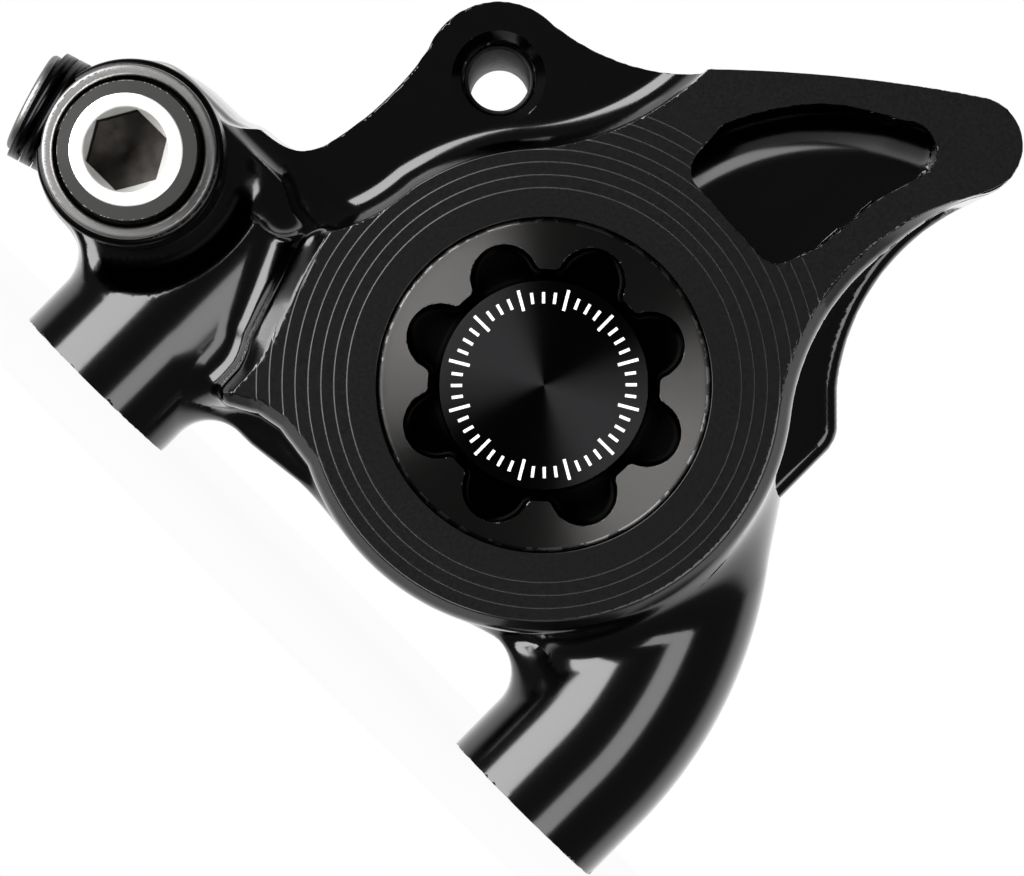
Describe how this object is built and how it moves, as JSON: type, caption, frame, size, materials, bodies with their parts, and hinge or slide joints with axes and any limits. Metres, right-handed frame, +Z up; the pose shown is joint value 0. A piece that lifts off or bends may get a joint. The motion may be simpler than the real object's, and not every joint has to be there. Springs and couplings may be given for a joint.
{
  "type": "bicycle disc brake caliper",
  "caption": "Flat-mount hydraulic disc brake caliper: machined body, screwed bore cap, opposed pistons, brake pads on a pin, banjo hose fitting and bleed valve.",
  "frame": {"origin": "midway between the two mounting holes, on the mounting plane", "axes": "+X along the mounting holes towards the rear, +Y inboard towards the wheel, +Z up from the mounting plane"},
  "size_m": [0.0537, 0.0531, 0.0475],
  "materials": {
    "anodised_body": "machined and black anodised",
    "turned_cap": "turned and black anodised",
    "seal_rubber": "moulded rubber",
    "piston_steel": "ground stainless steel",
    "backing_steel": "stamped steel, dark zinc",
    "friction_compound": "pressed sintered compound",
    "spring_steel": "rolled spring steel",
    "pin_steel": "black oxide steel",
    "banjo_black": "turned and black anodised",
    "bolt_stainless": "polished stainless steel",
    "washer_black": "black anodised washer"
  },
  "bodies": {
    "body": {"caliper_body": "anodised_body", "bore_cap": "turned_cap", "cap_o_ring": "seal_rubber", "outer_piston_seal": "seal_rubber", "inner_piston_seal": "seal_rubber", "outer_dust_seal": "seal_rubber", "inner_dust_seal": "seal_rubber", "pad_spring": "spring_steel", "pad_pin": "pin_steel", "pad_pin_clip": "spring_steel", "banjo_bolt": "bolt_stainless", "outer_banjo_washer": "washer_black", "inner_banjo_washer": "washer_black", "passage_plug": "bolt_stainless"},
    "outer_piston": {"outer_piston": "piston_steel"},
    "inner_piston": {"inner_piston": "piston_steel"},
    "outer_pad": {"outer_pad_backing": "backing_steel", "outer_pad_friction": "friction_compound"},
    "inner_pad": {"inner_pad_backing": "backing_steel", "inner_pad_friction": "friction_compound"},
    "banjo": {"banjo_fitting": "banjo_black"},
    "bleed_valve": {"bleed_screw": "bolt_stainless", "bleed_cap": "seal_rubber"}
  },
  "joints": [
    {"name": "outer_piston_slide", "type": "slide", "parent": "body", "child": "outer_piston", "axis": [0, 1, 0], "range_m": [0, 0.001], "deforming": ["pad_spring"]},
    {"name": "inner_piston_slide", "type": "slide", "parent": "body", "child": "inner_piston", "axis": [0, -1, 0], "range_m": [0, 0.001]},
    {"name": "outer_pad_slide", "type": "slide", "parent": "body", "child": "outer_pad", "axis": [0, 1, 0], "range_m": [0, 0.001]},
    {"name": "inner_pad_slide", "type": "slide", "parent": "body", "child": "inner_pad", "axis": [0, -1, 0], "range_m": [0, 0.001]},
    {"name": "banjo_swivel", "type": "hinge", "parent": "body", "child": "banjo", "pos_m": [-0.0243, -0.0074, 0.0108], "axis": [0, -1, 0], "range_deg": [-77, 63]},
    {"name": "bleed_turn", "type": "hinge", "parent": "body", "child": "bleed_valve", "pos_m": [-0.01603, 0.0302, 0.01398], "axis": [0, 1, 0], "range_deg": [0, 90]}
  ],
  "couplings": [
    {"joint": "inner_piston_slide", "follows": "outer_piston_slide", "ratio": 1},
    {"joint": "outer_pad_slide", "follows": "outer_piston_slide", "ratio": 1},
    {"joint": "inner_pad_slide", "follows": "outer_piston_slide", "ratio": 1}
  ]
}
